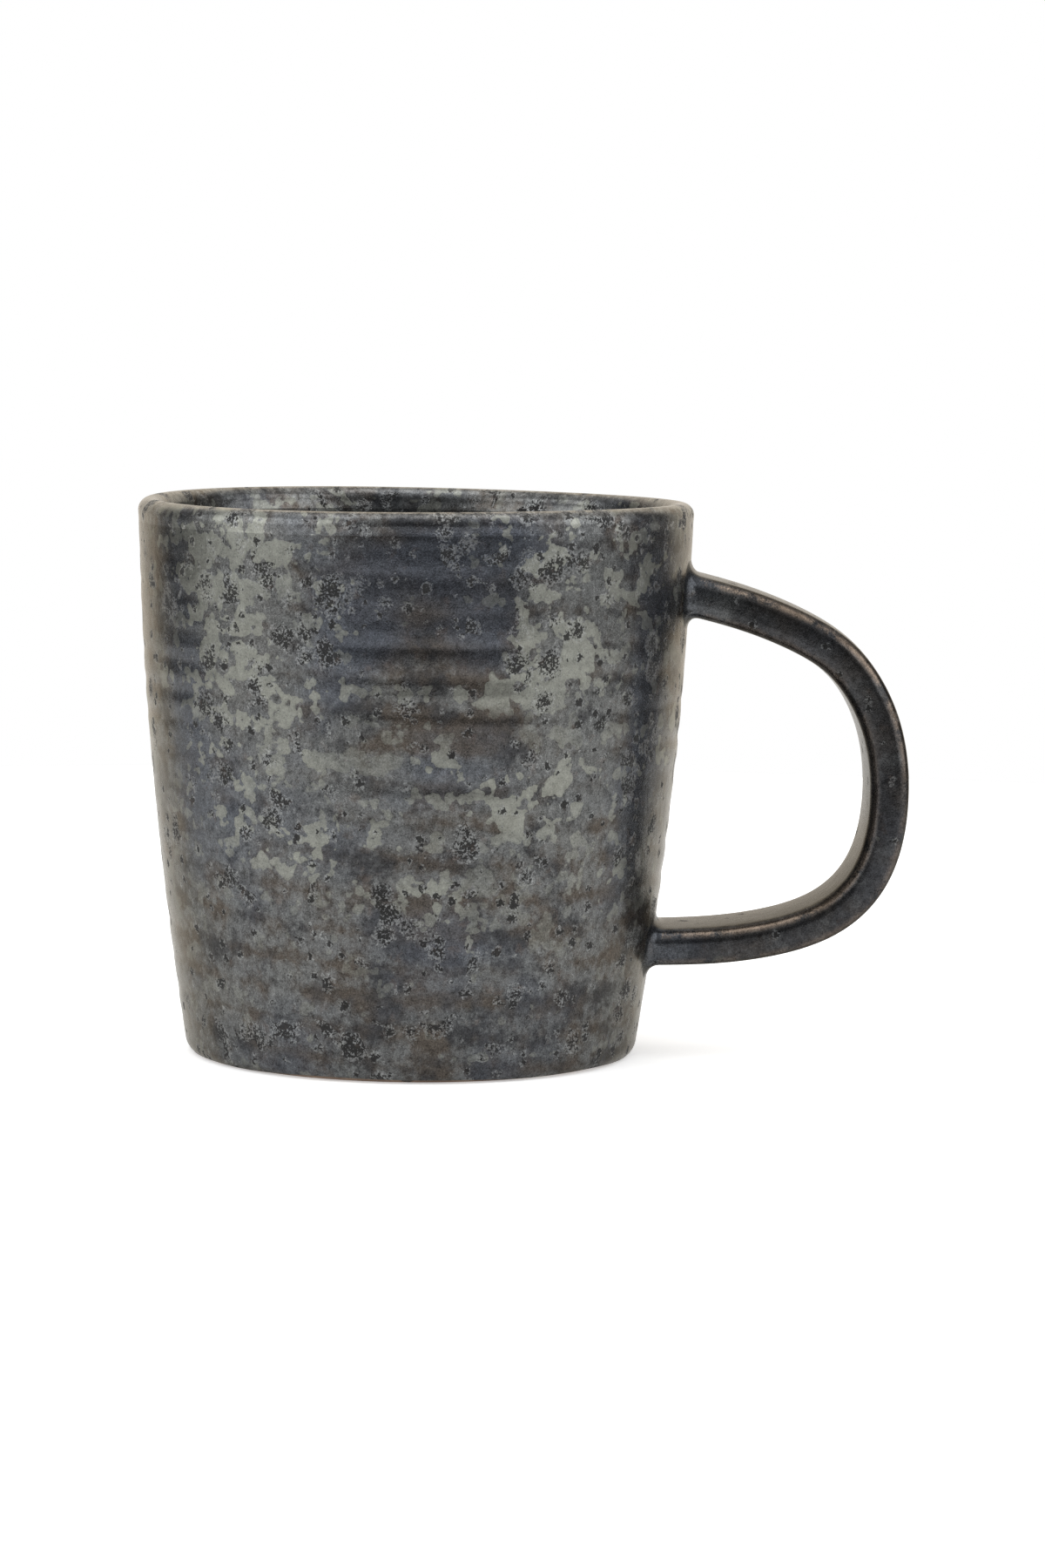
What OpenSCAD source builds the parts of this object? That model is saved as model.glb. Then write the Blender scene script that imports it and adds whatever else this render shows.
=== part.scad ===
// Stoneware mug with a strap handle, thrown in one piece and glazed dark.
// The origin is the centre of the face the foot rests on. +Z is up, the handle is along +X.
// Sizes are in millimetres.

/* [Body] */
// Height from the table to the top of the lip
height = 90; // [80:1:100]
// Outer diameter at the lip
rim_d = 90; // [84:1:100]
// Outer diameter of the side, carried straight down to the table
foot_d = 73; // [66:1:78]
// How the side curves: 1 is a straight cone, more steepens it towards the lip
belly = 1.75; // [1.4:0.05:2.2]
// Wall thickness at the lip, with its glaze
wall_top = 4; // [3.5:0.25:5]
// Wall thickness at the floor, with its glaze
wall_low = 5; // [4:0.25:6]
// Thickness of the floor, with its glaze
floor_t = 5; // [4:0.5:7]
// Radius of the corner inside, between wall and floor
inside_r = 9; // [5:0.5:12]

/* [Lip] */
// How far the lip's bead stands out from the side
bead = 0.2; // [0.1:0.05:0.4]
// Depth below the lip at which the lip's glaze meets the other coats
lip_h = 3.6; // [3:0.1:5]

/* [Foot] */
// Radius of the rounded clay corner at the foot
corner_r = 2.6; // [1.5:0.1:3.5]
// Width of the ring that touches the table
ring_w = 5.5; // [4:0.5:8]
// Depth of the hollow under the base
recess = 2; // [1:0.25:3]
// How far round the foot corner the glaze runs before bare clay starts, in degrees
glaze_stop = 45; // [25:5:50]

/* [Throwing marks] */
// Height of the throwing marks, from groove to crest
mark_h = 0.3; // [0:0.05:0.4]
// Distance from one groove to the next
mark_pitch = 5.5; // [4:0.25:8]

/* [Handle] */
// How far the strap's centre line stands out past the lip
reach = 32; // [28:1:38]
// Width of the strap
strap_w = 18; // [14:1:22]
// Thickness of the strap at its upper end
strap_top_t = 5.8; // [5:0.2:7]
// Thickness of the strap at its lower end
strap_low_t = 4.9; // [4.4:0.1:6]
// Radius of the strap's long edges
edge_r = 1.8; // [1.2:0.1:2]
// Radius of the slip smoothed into each joint
fillet_r = 2.6; // [2:0.1:3.2]

/* [Glaze] */
// Thickness of the glaze coat
glaze_t = 0.4; // [0.3:0.05:0.5]

/* [Hidden] */
$fn = 96;

// Clear gap between curved clay and the flat facets laid on it
seat_gap = 0.02;
// Gap between the body's coat and the edge of the handle's coat
coat_gap = 0.03;
// Steps along the side, round an arc and along a fillet
side_steps = 16;
arc_steps = 8;
fillet_steps = 3;
// Points per throwing mark
mark_steps = 5;
// Points round each strap edge, spaces across its width and rings along it
edge_steps = 3;
width_steps = 6;
strap_rings = 26;

clay_colour = [0.42, 0.31, 0.24];
slip_colour = [0.47, 0.36, 0.28];
glaze_colour = [0.25, 0.26, 0.26];
rim_colour = [0.33, 0.31, 0.29];
liner_colour = [0.20, 0.21, 0.22];
handle_colour = [0.17, 0.17, 0.18];

// ---- Profile of the cup ----

rim_r = rim_d / 2 - bead;
foot_r = foot_d / 2;
lip_r = wall_top / 2;
seam_z = height - lip_h;
floor_z = recess + floor_t;

// Radius of the glazed side at height z, without the throwing marks
function side(z) = foot_r + (rim_r - foot_r) * (1 - pow(1 - z / height, belly));

// Lean of the side from the vertical at the foot, in degrees
lean = atan(belly * (rim_r - foot_r) / height);

// Foot corner: its centre and the height at which the side leaves it
corner_z = corner_r;
side_z = corner_z - (corner_r + glaze_t) * sin(lean);
corner_x = side(side_z) - (corner_r + glaze_t) * cos(lean);

// One throwing mark after another up the side, fading out at both ends
function mark(z) =
    let(fade = min(1, (z - side_z) / mark_pitch, (seam_z - z) / mark_pitch))
    mark_h * fade * (abs(cos(180 * z / mark_pitch)) - 0.5);

// Radius inside the cup at height z
function bore(z) =
    side(z) - wall_top - (wall_low - wall_top) * (1 - z / height);

function arc(x, z, r, a0, a1, steps) =
    [for (i = [0:steps]) let(a = a0 + (a1 - a0) * i / steps) [x + r * cos(a), z + r * sin(a)]];

function reversed(list) = [for (i = [len(list) - 1:-1:0]) list[i]];

// The clay under the glaze, from the foot corner up to the seam below the lip
function clay_side() =
    [for (i = [1:side_steps]) let(z = side_z + (seam_z - side_z) * i / side_steps)
        [side(z) - glaze_t, z]];

// The face of the coat outside, with its throwing marks
marks = ceil((seam_z - side_z) / mark_pitch * mark_steps);
function glazed_side() =
    [for (i = [0:marks]) let(z = side_z + (seam_z - side_z) * i / marks)
        [side(z) + mark(z), z]];

// Over the lip, from the outer seam to the inner seam, set in by the depth d
function lip_line(d) = concat(
    [[side(seam_z) - d, seam_z]],
    arc(rim_r + bead - lip_r, height - lip_r, lip_r - d, 0, 180, 2 * arc_steps),
    [[bore(seam_z) + d, seam_z]]);

// Down the inside, from the inner seam to the middle of the floor, set out by d
inside_z = floor_z + inside_r;
inside_x = bore(inside_z) - inside_r;
function inner_line(d) = concat(
    [for (i = [0:side_steps]) let(z = seam_z + (inside_z - seam_z) * i / side_steps)
        [bore(z) + d, z]],
    arc(inside_x, inside_z, inside_r + d, -10, -90, arc_steps),
    [[0, floor_z - d]]);

// From the middle of the base out to the foot corner
function base_line() = concat(
    [[0, recess], [corner_x - ring_w - recess, recess], [corner_x - ring_w, 0]],
    arc(corner_x, corner_z, corner_r, -90, -lean, arc_steps));

// ---- Handle strap ----

// Control points of the strap's centre line: share of the reach past the lip, and of the height
STRAP = [[-0.82, 0.90], [-0.47, 0.875], [-0.11, 0.845], [0.26, 0.815], [0.59, 0.767],
         [0.80, 0.717], [0.98, 0.606], [1.02, 0.467], [0.95, 0.333], [0.70, 0.242],
         [0.25, 0.207], [-0.10, 0.202], [-0.47, 0.20], [-0.82, 0.20]];
path = [for (p = STRAP) [rim_d / 2 + p[0] * reach, 0, p[1] * height]];
spans = len(path) - 3;

// Cubic B-spline through the control points, u from 0 at the top to spans at the bottom
function blend_at(u) =
    let(i = min(floor(u), spans - 1), t = u - i)
    (pow(1 - t, 3) * path[i] + (3 * pow(t, 3) - 6 * t * t + 4) * path[i + 1]
     + (-3 * pow(t, 3) + 3 * t * t + 3 * t + 1) * path[i + 2] + pow(t, 3) * path[i + 3]) / 6;
function heading_at(u) =
    let(d = blend_at(min(u + 0.01, spans)) - blend_at(max(u - 0.01, 0))) d / norm(d);

// Half section of the strap: half width b and half thickness a of each point, unit by unit.
// The points run round from the upper face's left end, across it, and back along the lower.
corner_angles = [for (i = [0:edge_steps]) 90 * i / edge_steps];
function face_row(w, t, r) = concat(
    [for (k = corner_angles) [-(w / 2 - r) - r * cos(k), t / 2 - r + r * sin(k)]],
    [for (i = [1:width_steps - 1]) [(w - 2 * r) * (i / width_steps - 0.5), t / 2]],
    [for (k = reversed(corner_angles)) [w / 2 - r + r * cos(k), t / 2 - r + r * sin(k)]]);
function section(w, t, r) =
    let(row = face_row(w, t, r))
    concat(row, [for (p = reversed(row)) [p[0], -p[1]]]);
row_n = 2 * (edge_steps + 1) + width_steps - 1;
ring_n = 2 * row_n;

// Point k of the strap's section at u, grown by the depth d
function thick_at(u) = strap_top_t + (strap_low_t - strap_top_t) * u / spans;
function strap_point(u, k, d) =
    let(s = section(strap_w + 2 * d, thick_at(u) + 2 * d, edge_r + d)[k], h = heading_at(u))
    blend_at(u) + [-h[2] * s[1], s[0], h[0] * s[1]];

// How far a point stands outside the cup's side, at the depth d under its glazed face
function outside(p, d) = norm([p[0], p[1]]) - (side(p[2]) - d);

// The u at which line k of the strap, grown by g, leaves the cup's face, set in by d
function leave(k, g, d, lo, hi, n) =
    let(mid = (lo + hi) / 2)
    n == 0 ? mid
    : outside(strap_point(mid, k, g), d) < 0 ? leave(k, g, d, mid, hi, n - 1)
    : leave(k, g, d, lo, mid, n - 1);

// A root holds [u where the line leaves the clay, u where it leaves the glaze] for each line.
// At the upper root u rises away from the cup, at the lower one it falls.
solve_steps = 18;
upper_u = [0.4, 3];
lower_u = [spans - 0.4, spans - 3];
clay_set = glaze_t - seat_gap;
function root(span, g, d) = [for (k = [0:ring_n - 1]) leave(k, g, d, span[0], span[1], solve_steps)];

upper_clay = root(upper_u, 0, clay_set);
lower_clay = root(lower_u, 0, clay_set);
upper_coat = root(upper_u, glaze_t, 0);
lower_coat = root(lower_u, glaze_t, 0);

// Length of the strap for a step of one in u, near its ends
pace_top = norm(blend_at(2) - blend_at(1));
pace_low = norm(blend_at(spans - 1) - blend_at(spans - 2));

// Rings of points: where the strap meets the cup, and where the fillet meets the strap
function corner_ring(us, g) = [for (k = [0:ring_n - 1]) strap_point(us[k], k, g)];
function strap_ring(us, g, step) = [for (k = [0:ring_n - 1]) strap_point(us[k] + step, k, g)];

// Where the fillet of a root meets the cup: a rounded rectangle seen along X, laid on the side.
// A root's frame is [height of its middle, height of its section, 1 where the outer face is up].
function frame_of(corner) =
    let(low = min([for (p = corner) p[2]]), high = max([for (p = corner) p[2]]))
    [(low + high) / 2, high - low, corner[0][2] > corner[ring_n - 1][2] ? 1 : -1];
function cup_ring(frame, d) =
    let(s = section(strap_w + 2 * fillet_r, frame[1] + 2 * fillet_r, edge_r + fillet_r))
    [for (p = s) let(z = frame[0] + frame[2] * p[1], r = side(z) - d) [sqrt(r * r - p[0] * p[0]), p[0], z]];

// A fillet ring at share t of the way from the strap to the cup
function fillet_ring(a, c, b, t) =
    [for (k = [0:ring_n - 1]) (1 - t) * (1 - t) * a[k] + 2 * t * (1 - t) * c[k] + t * t * b[k]];
function fillet(a, c, b) = [for (i = [0:fillet_steps]) fillet_ring(a, c, b, i / fillet_steps)];

step_top = fillet_r / pace_top;
step_low = -fillet_r / pace_low;
coat_step_top = (fillet_r - glaze_t) / pace_top;
coat_step_low = -(fillet_r - glaze_t) / pace_low;

// Clay corner C, clay strap ring A and clay cup ring B of each root
upper_c = corner_ring(upper_clay, 0);
upper_a = strap_ring(upper_clay, 0, step_top);
upper_frame = frame_of(upper_c);
upper_b = cup_ring(upper_frame, clay_set);
lower_c = corner_ring(lower_clay, 0);
lower_a = strap_ring(lower_clay, 0, step_low);
lower_frame = frame_of(lower_c);
lower_b = cup_ring(lower_frame, clay_set);

// The same rings on the face of the coat
upper_coat_c = corner_ring(upper_coat, glaze_t);
upper_coat_a = strap_ring(upper_coat, glaze_t, coat_step_top);
upper_coat_b = cup_ring(upper_frame, 0);
lower_coat_c = corner_ring(lower_coat, glaze_t);
lower_coat_a = strap_ring(lower_coat, glaze_t, coat_step_low);
lower_coat_b = cup_ring(lower_frame, 0);

// Rings along the free strap, between the two fillets
function free_rings(g) =
    [for (i = [1:strap_rings - 1])
        [for (k = [0:ring_n - 1])
            let(u0 = upper_clay[k] + step_top, u1 = lower_clay[k] + step_low)
            strap_point(u0 + (u1 - u0) * i / strap_rings, k, g)]];

// ---- Closed meshes from rings ----

function joined(lists) = [for (l = lists) each l];
function band(i, j, n) =
    [for (k = [0:n - 1]) let(m = (k + 1) % n)
        each [[i * n + k, j * n + m, j * n + k], [i * n + k, i * n + m, j * n + m]]];
// A cap of strips across the width, on ring i; turned when it faces the other way
function cap(i, turned) =
    let(o = i * ring_n, last = ring_n - 1)
    [for (k = [0:row_n - 2])
        let(q = [o + k, o + k + 1, o + last - k - 1, o + last - k])
        each turned ? [[q[0], q[1], q[2]], [q[0], q[2], q[3]]]
                    : [[q[2], q[1], q[0]], [q[3], q[2], q[0]]]];

// A solid bar through a list of rings, closed by a cap at both ends
module bar(rings) {
    n = len(rings);
    polyhedron(
        points = joined(rings),
        faces = concat(joined([for (i = [0:n - 2]) band(i, i + 1, ring_n)]),
                       cap(0, false), cap(n - 1, true)),
        convexity = 6);
}

// A closed tube whose wall runs round a loop of rings
module loop_solid(rings) {
    n = len(rings);
    polyhedron(
        points = joined(rings),
        faces = joined([for (i = [0:n - 1]) band(i, (i + 1) % n, ring_n)]),
        convexity = 8);
}

// Opens the body's coat where a root comes through it, with the fillet's own outline
module root_window(frame) {
    room = 2 * (fillet_r + coat_gap);
    translate([foot_r / 2, 0, frame[0]])
    rotate([90, 0, 90])
    linear_extrude(rim_d)
    polygon(section(strap_w + room, frame[1] + room, edge_r + room / 2));
}

// ---- Sub-parts ----

// Thrown cup in one piece of clay: wall, floor and turned foot ring
module clay_body() {
    color(clay_colour)
    rotate_extrude()
    polygon(concat(base_line(), clay_side(), lip_line(glaze_t), inner_line(glaze_t)));
}

// Pulled strap of clay, cut to the cup's side at both ends
module handle_clay() {
    color(clay_colour)
    bar(concat([upper_c, upper_a], free_rings(0), [lower_a, lower_c]));
}

// Slip worked into the corner round the strap's upper end
module upper_slip_joint() {
    color(slip_colour)
    loop_solid(concat([upper_c], reversed(fillet(upper_a, upper_c, upper_b))));
}

// Slip worked into the corner round the strap's lower end
module lower_slip_joint() {
    color(slip_colour)
    loop_solid(concat([lower_c], fillet(lower_a, lower_c, lower_b)));
}

// Coat on the outside of the cup, open where the handle's coat takes over.
// It is turned by a quarter so that its seam stays clear of both windows.
module outer_glaze() {
    coat_end = -glaze_stop;
    color(glaze_colour)
    difference() {
        rotate([0, 0, 90])
        rotate_extrude()
        polygon(concat(
            arc(corner_x, corner_z, corner_r, -lean, coat_end, arc_steps),
            arc(corner_x, corner_z, corner_r + glaze_t, coat_end, -lean, arc_steps),
            glazed_side(),
            reversed(clay_side())));
        root_window(upper_frame);
        root_window(lower_frame);
    }
}

// Coat over the lip, where it thins and lightens
module rim_glaze() {
    color(rim_colour)
    rotate_extrude()
    polygon(concat(lip_line(0), reversed(lip_line(glaze_t))));
}

// Liner coat on the wall and floor inside
module inner_glaze() {
    color(liner_colour)
    rotate_extrude()
    polygon(concat(inner_line(0), reversed(inner_line(glaze_t))));
}

// Coat over the strap and both joints
module handle_glaze() {
    outer = concat(
        reversed(fillet(upper_coat_a, upper_coat_c, upper_coat_b)),
        free_rings(glaze_t),
        fillet(lower_coat_a, lower_coat_c, lower_coat_b));
    inner = concat(
        reversed(fillet(upper_a, upper_c, upper_b)),
        free_rings(0),
        fillet(lower_a, lower_c, lower_b));
    color(handle_colour)
    loop_solid(concat(outer, reversed(inner)));
}

clay_body();
handle_clay();
upper_slip_joint();
lower_slip_joint();
outer_glaze();
rim_glaze();
inner_glaze();
handle_glaze();
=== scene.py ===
"""Stoneware mug with a strap handle: the glaze coats, the bare clay, the studio and the camera.

Sizes in the constants are millimetres, the studio's apart; meshes are made in metres, in the
frame of the CAD model.
"""
import math
from types import SimpleNamespace

import bpy
import numpy as np
from mathutils import Matrix, Vector


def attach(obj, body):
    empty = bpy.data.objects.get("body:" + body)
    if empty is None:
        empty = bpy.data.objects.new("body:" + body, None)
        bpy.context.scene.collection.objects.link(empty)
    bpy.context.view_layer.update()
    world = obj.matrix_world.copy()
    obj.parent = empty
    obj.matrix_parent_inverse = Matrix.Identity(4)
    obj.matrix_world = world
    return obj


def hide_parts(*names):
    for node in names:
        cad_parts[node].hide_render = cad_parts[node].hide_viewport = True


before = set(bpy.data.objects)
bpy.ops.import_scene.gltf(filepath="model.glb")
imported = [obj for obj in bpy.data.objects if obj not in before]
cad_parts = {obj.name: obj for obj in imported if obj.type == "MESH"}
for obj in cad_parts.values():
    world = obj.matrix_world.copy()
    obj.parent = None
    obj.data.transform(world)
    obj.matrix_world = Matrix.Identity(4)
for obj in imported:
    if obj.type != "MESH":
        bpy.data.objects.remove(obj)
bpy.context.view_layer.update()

MM = 0.001
TURN = 2 * math.pi

# ---- Cup ----
HEIGHT = 90.0
RIM_R = 44.8
FOOT_R = 36.5
BELLY = 1.75
WALL_TOP = 4.0
WALL_LOW = 5.0
FLOOR_Z = 7.0
INSIDE_R = 9.0
BEAD = 0.2
LIP_R = 2.0
SEAM_Z = 86.4
CORNER_R = 2.6
RING_W = 5.5
RECESS = 2.0
GLAZE_STOP = math.radians(45)
GLAZE_T = 0.4
MARK_H = 0.3
MARK_PITCH = 5.5
MARK_WANDER = 1.1
FINE_MARK_H = 0.008
OUT_OF_ROUND = 0.14
LIP_LIFT = 0.2
SWELL = 0.6 * BEAD
SWELL_H = 7.0
INSIDE_MARK_H = 0.10
LEAN = math.atan(BELLY * (RIM_R - FOOT_R) / HEIGHT)

# ---- Strap ----
REACH = 32.0
STRAP_W = 18.0
STRAP_TOP_T = 5.8
STRAP_LOW_T = 4.9
EDGE_R = 1.8
FILLET_R = 2.6
# Centre line of the strap: share of the reach past the lip, and share of the height
STRAP = ((-0.82, 0.90), (-0.47, 0.875), (-0.11, 0.845), (0.26, 0.815), (0.59, 0.767),
         (0.80, 0.717), (0.98, 0.606), (1.02, 0.467), (0.95, 0.333), (0.70, 0.242),
         (0.25, 0.207), (-0.10, 0.202), (-0.47, 0.20), (-0.82, 0.20))

# Height of each joint of the strap on the cup, and half its height
JOINTS = ((74.2, 6.5), (18.2, 5.5))

# ---- Mesh density ----
COLUMNS = 512
CLAY_COLUMNS = 288

# ---- Seeds of the soft irregularities ----
PHASE_SEED = 11
DEPTH_SEED = 23
FINE_SEED = 31
STOP_SEED = 41

# ---- Studio and camera, in metres and degrees ----
TABLE_RADIUS = 0.46
TABLE_GLOW = 0.41
AIM = (0, 0, 0.05)
# Name, place, width, height and power
SOFTBOXES = (
    ("key_left", (-0.83, -0.40, 0.34), 1.20, 0.75, 5.9),
    ("fill_right", (0.86, -0.27, 0.34), 0.95, 0.70, 4.7),
    ("top", (0.0, -0.10, 0.95), 0.8, 0.6, 1.8),
)
CAMERA_PLACE = (0, -0.814, 0.1285)
YAW = 1.25
PITCH = 5.94
ROLL = 0.75
LENS = 115.25
SENSOR = 36


# ---------------------------------------------------------------- shape of the cup

def smooth(x, low, high):
    """0 below low, 1 above high, eased in between."""
    t = np.clip((x - low) / (high - low), 0, 1)
    return t * t * (3 - 2 * t)


def ease_out(x, run=1.15):
    """0 to 1 as x goes from 0 to 1, leaving softly and arriving with some slope left."""
    return smooth(x, 0, run) / smooth(1.0, 0, run)


def wander(theta, z, seed, turns, length, waves=9):
    """Soft irregularity round the cup: about -1.5 to 1.5, seamless in theta."""
    rng = np.random.default_rng(seed)
    total = 0
    for _ in range(waves):
        k = rng.integers(-turns, turns + 1)
        rate = rng.normal() * TURN / length
        total = total + np.sin(k * theta + rate * z + rng.uniform(0, TURN))
    return total / math.sqrt(waves / 2)


def side(z):
    rise = np.clip(1 - z / HEIGHT, 0, None)
    return FOOT_R + (RIM_R - FOOT_R) * (1 - rise ** BELLY)


def near_roots(theta, z):
    """1 where the strap is joined to the cup, 0 away from it."""
    near = 0
    for height, half in JOINTS:
        across = np.abs(np.sin(theta)) * side(z) / (STRAP_W / 2 + FILLET_R)
        across = np.where(np.cos(theta) > 0, across, 9)
        far = np.sqrt(across ** 2 + ((z - height) / half) ** 2)
        near = np.maximum(near, 1 - smooth(far, 1.0, 1.9))
    return near


def mark_phase(theta, z):
    return TURN * z / MARK_PITCH + theta + MARK_WANDER * wander(theta, z, PHASE_SEED, 2, 45)


def ridge(theta, z):
    """Rounded crests with narrower grooves, about -0.5 to 0.35, winding up the cup."""
    half = 0.5 * mark_phase(theta, z)
    return np.sqrt(np.cos(half) ** 2 + 0.03) - 0.66


def marks(theta, z):
    fade = smooth(z, 1.5, 9) * (1 - smooth(z, SEAM_Z - 5, SEAM_Z)) * (1 - near_roots(theta, z))
    depth = MARK_H * np.clip(0.36 + 0.26 * wander(theta, z, DEPTH_SEED, 3, 26), 0.05, 0.9)
    depth = depth * (1 - 0.6 * smooth(z, 56, 74))
    fine = FINE_MARK_H * wander(theta, z, FINE_SEED, 2, 2.6, 14)
    return fade * (depth * ridge(theta, z) + fine)


def oval(theta, z):
    """The cup is a touch out of round, more so towards the lip."""
    return OUT_OF_ROUND * np.sin(2 * theta) * smooth(z, 10, 90)


def lift(theta, z):
    """The lip isn't quite level: high at the far left and the near right."""
    return LIP_LIFT * np.cos(2 * (theta + math.radians(45))) * smooth(z, 55, 90)


def face(theta, z):
    """Radius of the glazed face outside."""
    swell = SWELL * smooth(z, SEAM_Z - SWELL_H, SEAM_Z)
    return side(z) + marks(theta, z) + oval(theta, z) + swell


def bore(theta, z):
    thick = WALL_TOP + (WALL_LOW - WALL_TOP) * (1 - z / HEIGHT)
    rings = INSIDE_MARK_H * (1 - smooth(z, 78, SEAM_Z)) * ridge(theta + 1, z * 0.8)
    return side(z) - thick + oval(theta, z) - rings


# ---------------------------------------------------------------- mesh helpers

def solid(name, points, faces, sharp=42):
    """A smooth-shaded object from points in millimetres; faces turned to look outwards."""
    points = np.asarray(points, float) * MM
    if enclosed(points, faces) < 0:
        faces = [f[::-1] for f in faces]
    mesh = bpy.data.meshes.new(name)
    mesh.from_pydata(points.tolist(), [], faces)
    mesh.polygons.foreach_set("use_smooth", [True] * len(mesh.polygons))
    mesh.set_sharp_from_angle(angle=math.radians(sharp))
    mesh.update()
    obj = bpy.data.objects.new(name, mesh)
    bpy.context.scene.collection.objects.link(obj)
    return obj


def enclosed(points, faces):
    """Six times the volume inside the faces; its sign tells which way they look."""
    quads = np.array([f if len(f) == 4 else [*f, f[-1]] for f in faces])
    a, b, c, d = (points[quads[:, i]] for i in range(4))
    return np.sum(a * (np.cross(b, c) + np.cross(c, d)))


def ring_faces(rows, columns, looped):
    """Quads between rows of rings; looped joins the last row to the first."""
    grid = np.arange(rows * columns).reshape(rows, columns)
    top = np.roll(grid, -1, axis=0) if looped else grid[1:]
    low = grid if looped else grid[:-1]
    quads = np.stack([low, np.roll(low, -1, axis=1), np.roll(top, -1, axis=1), top], axis=-1)
    return quads.reshape(-1, 4).tolist()


def attribute(obj, name, values):
    data = obj.data.attributes.new(name, "FLOAT", "POINT")
    data.data.foreach_set("value", np.asarray(values, np.float32).ravel())


def turned(name, radius, height, pole=False):
    """A solid turned round Z from rings of radius and height. With pole, both ends of the line
    close on the axis; without it, the line runs back to its own start."""
    rows, columns = radius.shape
    theta = np.linspace(0, TURN, columns, endpoint=False)
    x, y = radius * np.cos(theta), radius * np.sin(theta)
    points = np.stack([x, y, height], axis=-1).reshape(-1, 3)
    faces = ring_faces(rows, columns, not pole)
    if pole:
        first, last = len(points), len(points) + 1
        ends = [[0, 0, height[0].mean()], [0, 0, height[-1].mean()]]
        points = np.concatenate([points, ends])
        around = np.arange(columns)
        after = np.roll(around, -1)
        base = (rows - 1) * columns
        faces += [[first, int(b), int(a)] for a, b in zip(around, after)]
        faces += [[last, int(a) + base, int(b) + base] for a, b in zip(around, after)]
    return solid(name, points, faces)


def spread(start, end, count):
    return np.linspace(start, end, count)[:, None]


def ring_angles(columns):
    return np.linspace(0, TURN, columns, endpoint=False)[None, :]


def corner_centre():
    side_z = CORNER_R - (CORNER_R + GLAZE_T) * math.sin(LEAN)
    return float(side(side_z)) - (CORNER_R + GLAZE_T) * math.cos(LEAN), CORNER_R, side_z


# ---------------------------------------------------------------- tone zones

# Where plates gather or stay away: degrees to the right of the front, height, half sizes, gain
PLATE_ZONES = (
    (-43, 80, 15, 14, 0.17), (-36, 62, 14, 9, 0.10), (-20, 78, 9, 9, 0.06),
    (36, 78, 17, 13, 0.13), (30, 64, 19, 7, 0.16), (4, 62, 22, 3, 0.13), (25, 45, 14, 8, 0.14),
    (-18, 50, 14, 4, 0.09), (2, 30, 9, 2.5, 0.10), (18, 27, 16, 12, 0.05), (-30, 38, 14, 5, 0.06),
    (4, 74, 15, 10, -0.2), (14, 56, 12, 4, -0.12), (0, 24, 14, 5, -0.08), (-3, 83, 14, 5, -0.16),
    (95, 60, 30, 20, 0.08), (150, 40, 30, 22, 0.10), (-110, 55, 30, 24, 0.10),
    (-160, 74, 26, 12, 0.10), (-150, 22, 30, 12, -0.1), (120, 20, 24, 12, -0.1),
    (-30, 14, 60, 15, -0.09), (30, 10, 40, 10, -0.05),
)
# Where craters crowd together
CRATER_ZONES = (
    (-44, 79, 16, 14, 0.40), (-30, 78, 16, 13, 0.26), (-42, 60, 16, 13, 0.26),
    (32, 78, 18, 12, 0.32), (40, 62, 14, 10, 0.18), (-22, 7, 30, 5, 0.26), (20, 12, 30, 8, 0.06),
    (8, 86, 40, 3, 0.10), (0, 66, 14, 16, -0.2), (10, 45, 20, 10, -0.1),
    (100, 70, 34, 16, 0.2), (-120, 40, 34, 26, 0.14), (170, 60, 34, 26, 0.14), (150, 10, 60, 8, 0.2),
)
# Where the ground turns blue, and a painted reflection: the tall narrow zones at -56 and 58 degrees lay
# a dark blue band down each side of the cup
BLUE_AND_REFLECTION_ZONES = (
    (-14, 72, 12, 13, 0.30), (3, 77, 12, 10, 0.26), (10, 84, 22, 6, 0.30), (14, 70, 9, 7, 0.25),
    # (-56, 62, 9, 34, 0.3) and (58, 60, 9, 34, 0.3) are a painted reflection, a dark blue band down
    # each side.
    (-40, 40, 30, 24, 0.06), (0, 47, 16, 6, 0.12), (-56, 62, 9, 34, 0.3), (58, 60, 9, 34, 0.3),
    (20, 28, 22, 14, 0.12), (-38, 70, 16, 24, -0.24), (34, 60, 16, 30, -0.20),
    (0, 36, 40, 12, -0.10),
)
# Where the grey veil is thin and the ground shows, or thick
VEIL_ZONES = (
    (4, 76, 22, 16, -0.24), (14, 56, 14, 4, -0.18), (0, 25, 16, 5, -0.14), (-34, 24, 24, 24, 0.05),
    (-20, 46, 24, 8, 0.12), (10, 12, 50, 12, -0.07), (30, 78, 20, 12, 0.04),
    (-40, 72, 20, 24, 0.26), (34, 58, 18, 30, 0.10), (-120, 50, 40, 40, 0.14), (150, 55, 40, 40, 0.12),
)


def zone_field(angle, z, zones):
    """Sum of soft oval zones laid round the cup."""
    total = 0 * z
    for middle, height, wide, tall, gain in zones:
        far = np.hypot((angle - middle) / wide, (z - height) / tall)
        total = total + gain * (1 - smooth(far, 0.25, 1.35))
    return total


def lay_zones(obj, theta, z):
    """Stores the zones on the mesh, for the glaze to read."""
    theta, z = np.broadcast_arrays(theta, z)
    angle = np.degrees(np.arctan2(np.cos(theta), -np.sin(theta)))
    for name, zones in (("plates", PLATE_ZONES), ("craters", CRATER_ZONES),
                        ("blues", BLUE_AND_REFLECTION_ZONES), ("veils", VEIL_ZONES)):
        values = zone_field(angle, z, zones)
        extra = len(obj.data.vertices) - values.size
        attribute(obj, name, np.concatenate([values.ravel(), np.zeros(extra)]))


# ---------------------------------------------------------------- coats of the cup

def corner_rows(theta, start, end, radius, count):
    """Rings round the foot corner, from one angle to another."""
    x, z, _ = corner_centre()
    angle = start + (end - start) * spread(0, 1, count)
    return x + radius * np.cos(angle) + oval(theta, z), z + radius * np.sin(angle)


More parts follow.
